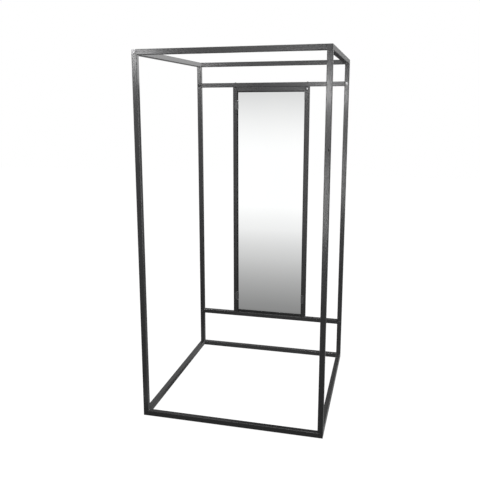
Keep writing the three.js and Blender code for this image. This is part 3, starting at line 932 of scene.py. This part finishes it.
# Weld beads
BEAD_RADIUS = 1.1 * MM
BEAD_SINK = 1.4 * MM  # of a bead's middle, from the back of the piece that it holds
BEAD_LENGTH = 26 * MM
BEAD_STEP = 0.4 * MM
BEAD_SIDES = 10
RIPPLE_PITCH = 1.8 * MM
EVEN_SHARE = 0.75  # of the radius, and what ripples and roughness add to it
RIPPLE_SHARE = 0.1
ROUGH_SHARE = 0.35
TAPER_POWER = 8.0
STOP_BEAD_SHARES = (0.03, 0.2, 0.36, 0.52, 0.68, 0.84, 0.97)


def weld_tree():
    """Turns each edge into a weld bead with ripples along it and tapered ends."""
    inputs = {"Bead Radius": "Float", "Ripple Pitch": "Float", "Material": "Material"}
    builder = Builder("weld_beads", inputs)
    given = builder.given
    math_node = builder.math
    curve = builder.node("GeometryNodeMeshToCurve", Mesh=given["Geometry"])
    sockets = {"Curve": curve.outputs[0], "Length": BEAD_STEP}
    fine = builder.node("GeometryNodeResampleCurve", {"mode": "LENGTH"}, **sockets)
    along = builder.node("GeometryNodeSplineParameter")
    turns = math_node("DIVIDE", along.outputs["Length"], given["Ripple Pitch"])
    wave = math_node("SINE", math_node("MULTIPLY", turns, 2 * math.pi))
    ripple = math_node("MULTIPLY", wave, RIPPLE_SHARE)
    uneven = builder.node("ShaderNodeTexNoise", Scale=180.0)
    rough = math_node("MULTIPLY", uneven.outputs[0], ROUGH_SHARE)
    rippled = math_node("ADD", ripple, math_node("ADD", rough, EVEN_SHARE))
    from_middle = math_node("ABSOLUTE", math_node("SUBTRACT", along.outputs["Factor"], 0.5))
    to_end = math_node("MULTIPLY", from_middle, 2.0)
    taper = math_node("SUBTRACT", 1.0, math_node("POWER", to_end, TAPER_POWER))
    size = math_node("MULTIPLY", math_node("MULTIPLY", rippled, taper), given["Bead Radius"])
    profile = builder.node("GeometryNodeCurvePrimitiveCircle", Resolution=BEAD_SIDES, Radius=1.0)
    sockets = {"Curve": fine.outputs[0], "Profile_Curve": profile.outputs[0]}
    bead = builder.node("GeometryNodeCurveToMesh", Scale=size, Fill_Caps=True, **sockets)
    smooth = builder.node("GeometryNodeSetShadeSmooth", Geometry=bead.outputs[0])
    return builder.finish(smooth.outputs[0], given["Material"])


def bead_lines():
    """Stitches that hold the stops to the stiles, and the head rail's ends."""
    for side, sign in SIDES.items():
        low, high = (Vector(corner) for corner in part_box(f"mirror_stop_{side}"))
        x = high.x if sign > 0 else low.x
        y = high.y - BEAD_SINK
        for share in STOP_BEAD_SHARES:
            z = low.z + BEAD_LENGTH / 2 + share * (high.z - low.z - BEAD_LENGTH)
            yield Vector((x, y, z - BEAD_LENGTH / 2)), Vector((x, y, z + BEAD_LENGTH / 2))
        low, high = (Vector(corner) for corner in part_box("mirror_head_rail"))
        x = high.x if sign > 0 else low.x
        y = high.y - BEAD_SINK
        yield Vector((x, y, low.z + TUBE_RADIUS)), Vector((x, y, high.z - TUBE_RADIUS))


def make_welds():
    mesh = bpy.data.meshes.new("bead_lines")
    points = [point for line in bead_lines() for point in line]
    mesh.from_pydata(points, [(index, index + 1) for index in range(0, len(points), 2)], [])
    values = {"Bead Radius": BEAD_RADIUS, "Ripple Pitch": RIPPLE_PITCH, "Material": FINISHES["weld"]}
    piece = grown("weld_beads", mesh, weld_tree(), values)


# The photograph's mirror shows bare floor and wall, so these stay out of reflections: the corner
# blocks, the rails and the front left post
FRONT_NODES = ("corner_", "post_front_left", "top_rail_", "bottom_rail_")


def hide_from_mirror():
    for name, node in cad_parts.items():
        if name.startswith(FRONT_NODES):
            node.visible_glossy = False
    bpy.data.objects["lock_screws"].visible_glossy = False


# Studio. To the eye its floor and walls are white. A reflection shows them by levels, 1 for full white.
FLOOR_HALF = 12.0
FLOOR_DROP = 0.5 * MM
SHADOWED_GREY = 0.13  # what the white floor takes from the lamps
SHADOWED_WHITE = 0.94  # and what it gives of itself
BOUNCE_GREY = 0.45  # what the booth gets from the floor
AMBIENT_LEVEL = 0.55  # and from the walls

# How bright the backdrop looks in the mirror at its palest, to make up for what the silvering takes
MIRROR_WHITE = 1.06

# What the mirror shows the photographer lies between slopes to the left of straight ahead: where it
# begins and is whole, and where it starts to end and is past
WALL_SLOPES = (0.085, 0.105, 0.262, 0.3)
FLOOR_SLOPES = (0.107, 0.138, 0.2545, 0.27)

# Floor in front of the booth's back, by its distance as a share of the ramp's length
FLOOR_RAMP_LENGTH = 8.0
FLOOR_REFLECTION_STOPS = [
    (0.0, 0.151),
    (0.13, 0.274),
    (0.22, 0.406),
    (0.34, 0.594),
    (0.55, 0.86),
    (0.8, 1.0),
]
SIDE_FLOOR_LEVEL = 0.25  # beside what the mirror shows

# Depths over which the floor changes: close to the booth, inside it, under its back, and beyond it
CLOSE_FLOOR_DEPTHS = (-0.8, -0.65)
INNER_FLOOR_DEPTHS = (-0.38, 0)
REAR_FLOOR_DEPTHS = (0.1, 0.4)
BEYOND_FLOOR_DEPTHS = (0.7, 1.5)
# Inside the booth and under its back the reflected floor is darker: a painted shadow of the booth
INNER_FLOOR_LEVEL = 0.12
REAR_FLOOR_LEVEL = 0.27
BEYOND_FLOOR_FALL = 0.7

# Room in front of the booth. Its wall falls off over two spans of height, and past what the mirror
# shows, side walls take its place
FRONT_FALLS = (((-0.085, 0.1), 0.534), ((0.1, 0.4), 0.45))
SIDE_WALL_HEIGHTS = (-0.11, -0.03)
SIDE_WALL_LEVEL = 0.72
FAR_FLOOR_LEVEL = 0.25
RIGHT_FRONT_SLOPES = (-0.12, -0.02)
RIGHT_FRONT_LEVEL = 0.35

# Room behind the booth: a wall straight behind, and others to its right and left
BEHIND_SPAN = (-0.35, 0.25)  # of a direction's backward part, from the room in front to the one behind
BACK_WALL_HEIGHTS = (-0.1, 0.02)
BACK_WALL_LEVEL = 0.2
BACK_FLOOR_SHARE = 0.1
RIGHT_WALL_SLOPES = (0.12, 0.3)
RIGHT_WALL_HEIGHTS = (-0.035, 0.06)
HIGH_RIGHT_SLOPES = (0.31, 0.36)
HIGH_RIGHT_LEVEL = 2.1
HIGH_RIGHT_NEAR_SHARE = 0.5  # at slopes nearer to straight behind
LOW_RIGHT_LEVEL = 0.25
LEFT_WALL_SLOPES = (0.15, 0.35)
LEFT_WALL_LEVEL = 0.4


def mirror_band(slope, slopes, right_share=1.0):
    """1 for what the mirror shows, 0 to the left of it, and darker to the right of it by the share."""
    rise_start, rise_end, fall_start, fall_end = slopes
    to_right = (1.0 - slope.step(rise_start, rise_end)) * right_share
    return (1.0 - to_right) * (1.0 - slope.step(fall_start, fall_end))


def ray_kinds(nodes):
    """1 for rays from the camera, for reflected ones, and for those that pass through something clear."""
    names = ("Is Camera Ray", "Is Glossy Ray", "Is Transmission Ray")
    return nodes.outputs("ShaderNodeLightPath", names)


def floor_level(nodes):
    """How bright each place on the floor looks in a reflection. Its slope is that of the line of sight
    from the camera's own mirror image."""
    place = nodes.node("ShaderNodeTexCoord", output="Object")
    across, depth = nodes.axes(place, "X", "Y")
    camera_x, camera_y = CAMERA_PLACE[:2]
    glass_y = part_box("mirror_glass")[0][1]
    slope = (camera_x - across) / (2 * glass_y - camera_y - depth)
    band = mirror_band(slope, FLOOR_SLOPES, 1.0 - depth.step(*CLOSE_FLOOR_DEPTHS))
    distance = (cad_bounds[1].y - depth) / FLOOR_RAMP_LENGTH
    in_front = nodes.ramp(distance, FLOOR_REFLECTION_STOPS) * between(band, SIDE_FLOOR_LEVEL, 1)
    under = between(depth.step(*REAR_FLOOR_DEPTHS), INNER_FLOOR_LEVEL, REAR_FLOOR_LEVEL)
    around = under * (1.0 - depth.step(*BEYOND_FLOOR_DEPTHS) * BEYOND_FLOOR_FALL)
    return between(depth.step(*INNER_FLOOR_DEPTHS), in_front, around)


def plain_grey(level):
    return (level, level, level, 1)


def pale_floor():
    material = bpy.data.materials.new("pale_floor")
    material.use_nodes = True
    nodes = Nodes(material.node_tree)
    nodes.tree.nodes.remove(nodes.tree.nodes["Principled BSDF"])
    camera, glossy, clear = ray_kinds(nodes)
    bounce = nodes.node("ShaderNodeBsdfDiffuse", None, plain_grey(BOUNCE_GREY))
    shadowed = nodes.node("ShaderNodeBsdfDiffuse", None, plain_grey(SHADOWED_GREY))
    white = nodes.node("ShaderNodeEmission", None, plain_grey(1), SHADOWED_WHITE)
    shown = nodes.node("ShaderNodeAddShader", None, shadowed, white)
    reflected = nodes.node("ShaderNodeEmission", None, floor_level(nodes), MIRROR_WHITE)
    direct = nodes.node("ShaderNodeMixShader", None, camera + clear, bounce, shown)
    whole = nodes.node("ShaderNodeMixShader", None, glossy, direct, reflected)
    nodes.feed(nodes.tree.nodes["Material Output"].inputs["Surface"], whole)
    return material


def make_floor():
    mesh = bpy.data.meshes.new("floor")
    half = FLOOR_HALF
    corners = [(-half, -half), (half, -half), (half, half), (-half, half)]
    mesh.from_pydata([(x, y, -FLOOR_DROP) for x, y in corners], [], [(0, 1, 2, 3)])
    floor = new_piece("floor", mesh)
    mesh.materials.append(pale_floor())


def front_level(slope, upward):
    """How bright the room in front of the booth looks in a reflection."""
    wall = MIRROR_WHITE
    for heights, fall in FRONT_FALLS:
        wall = wall - upward.step(*heights) * fall
    side_wall = between(upward.step(*SIDE_WALL_HEIGHTS), FAR_FLOOR_LEVEL, SIDE_WALL_LEVEL)
    side_level = between(mirror_band(slope, WALL_SLOPES), side_wall, 1.0)
    right_level = between(slope.step(*RIGHT_FRONT_SLOPES), RIGHT_FRONT_LEVEL, 1)
    return wall * side_level * right_level


def back_level(slope, upward):
    """How bright the room behind the booth looks in a reflection."""
    high_right = between(slope.step(*HIGH_RIGHT_SLOPES), HIGH_RIGHT_NEAR_SHARE, 1) * HIGH_RIGHT_LEVEL
    right_wall = between(upward.step(*RIGHT_WALL_HEIGHTS), LOW_RIGHT_LEVEL, high_right)
    back_wall = between(upward.step(*BACK_WALL_HEIGHTS), BACK_FLOOR_SHARE, 1) * BACK_WALL_LEVEL
    to_right = slope.step(*RIGHT_WALL_SLOPES)
    to_left = (-slope).step(*LEFT_WALL_SLOPES)
    return to_right * right_wall + to_left * LEFT_WALL_LEVEL + (1.0 - to_right - to_left) * back_wall


def make_world():
    world = bpy.data.worlds.new("studio")
    world.use_nodes = True
    bpy.context.scene.world = world
    nodes = Nodes(world.node_tree)
    camera, glossy, clear = ray_kinds(nodes)
    direction = nodes.node("ShaderNodeTexCoord", output="Generated")
    rightward, backward, upward = nodes.axes(direction, "X", "Y", "Z")
    slope = rightward / backward
    behind = backward.step(*BEHIND_SPAN)
    reflected = between(behind, front_level(slope, upward), back_level(slope, upward))
    ambient = (1.0 - camera - clear - glossy) * AMBIENT_LEVEL
    strength = (camera + clear) + glossy * reflected + ambient
    background = nodes.tree.nodes["Background"]
    nodes.feed(background.inputs["Strength"], strength)
    background.inputs["Color"].default_value = plain_grey(1)


def make_lamp(name, place, aim, size, power):
    light = bpy.data.lights.new(name, "AREA")
    light.shape = "RECTANGLE"
    light.size, light.size_y = size
    light.energy = power
    lamp = bpy.data.objects.new(name, light)
    lamp.location = place
    lamp.rotation_euler = (Vector(aim) - Vector(place)).to_track_quat("-Z", "Y").to_euler()
    lamp.visible_camera = False
    bpy.context.scene.collection.objects.link(lamp)


def make_lamps():
    make_lamp("overhead_softbox", place=(0, -0.5, 4), aim=(0, 0, 1), size=(3.6, 3.6), power=85)
    make_lamp("high_left_window", place=(-2.1, -4.2, 2.36), aim=(-0.5, -0.5, 2), size=(0.5, 0.25), power=8)
    make_lamp("high_front_card", place=(-0.65, -4.2, 2.42), aim=(0, -0.5, 2.08), size=(1, 0.22), power=0.8)
    make_lamp("crossbar_card", place=(-0.12, -4.2, 2.07), aim=(0.4, 0.5, 1.94), size=(0.45, 0.12), power=3.4)
    make_lamp("lamp_by_camera", place=(0.16, -4.2, 1.93), aim=(0.5, -0.5, 1.85), size=(0.2, 0.2), power=4)
    make_lamp("eye_level_card", place=(0.16, -4.2, 1.62), aim=(0.5, -0.5, 1.7), size=(0.2, 0.4), power=0.2)
    make_lamp("low_strip", place=(0.16, -4.1, 0.76), aim=(0.5, -0.5, 1.2), size=(0.2, 0.8), power=4.4)
    make_lamp("right_softbox", place=(3.2, 0, 1.2), aim=(0, 0, 1.2), size=(2.4, 2.4), power=60)


def make_camera():
    data = bpy.data.cameras.new("photographer")
    data.sensor_width = CAMERA_SENSOR_MM
    data.lens = CAMERA_LENS_MM
    data.shift_x, data.shift_y = CAMERA_SHIFT
    camera = bpy.data.objects.new("photographer", data)
    turn = Matrix.Rotation(CAMERA_YAW, 4, "Z") @ Matrix.Rotation(CAMERA_PITCH, 4, "X")
    turn = turn @ Matrix.Rotation(CAMERA_ROLL, 4, "Y") @ Matrix.Rotation(math.pi / 2, 4, "X")
    camera.matrix_world = Matrix.Translation(CAMERA_PLACE) @ turn
    bpy.context.scene.collection.objects.link(camera)
    bpy.context.scene.camera = camera


make_camera()
bpy.context.scene.view_settings.view_transform = "Standard"
make_world()
make_floor()
make_lamps()
dress_nodes()
make_lock_screws()
make_crossbar_bolts()
make_stile_screws()
make_clip_screws()
make_stile_bolts()
make_clips()
make_edge_rubber()
make_welds()
hide_from_mirror()
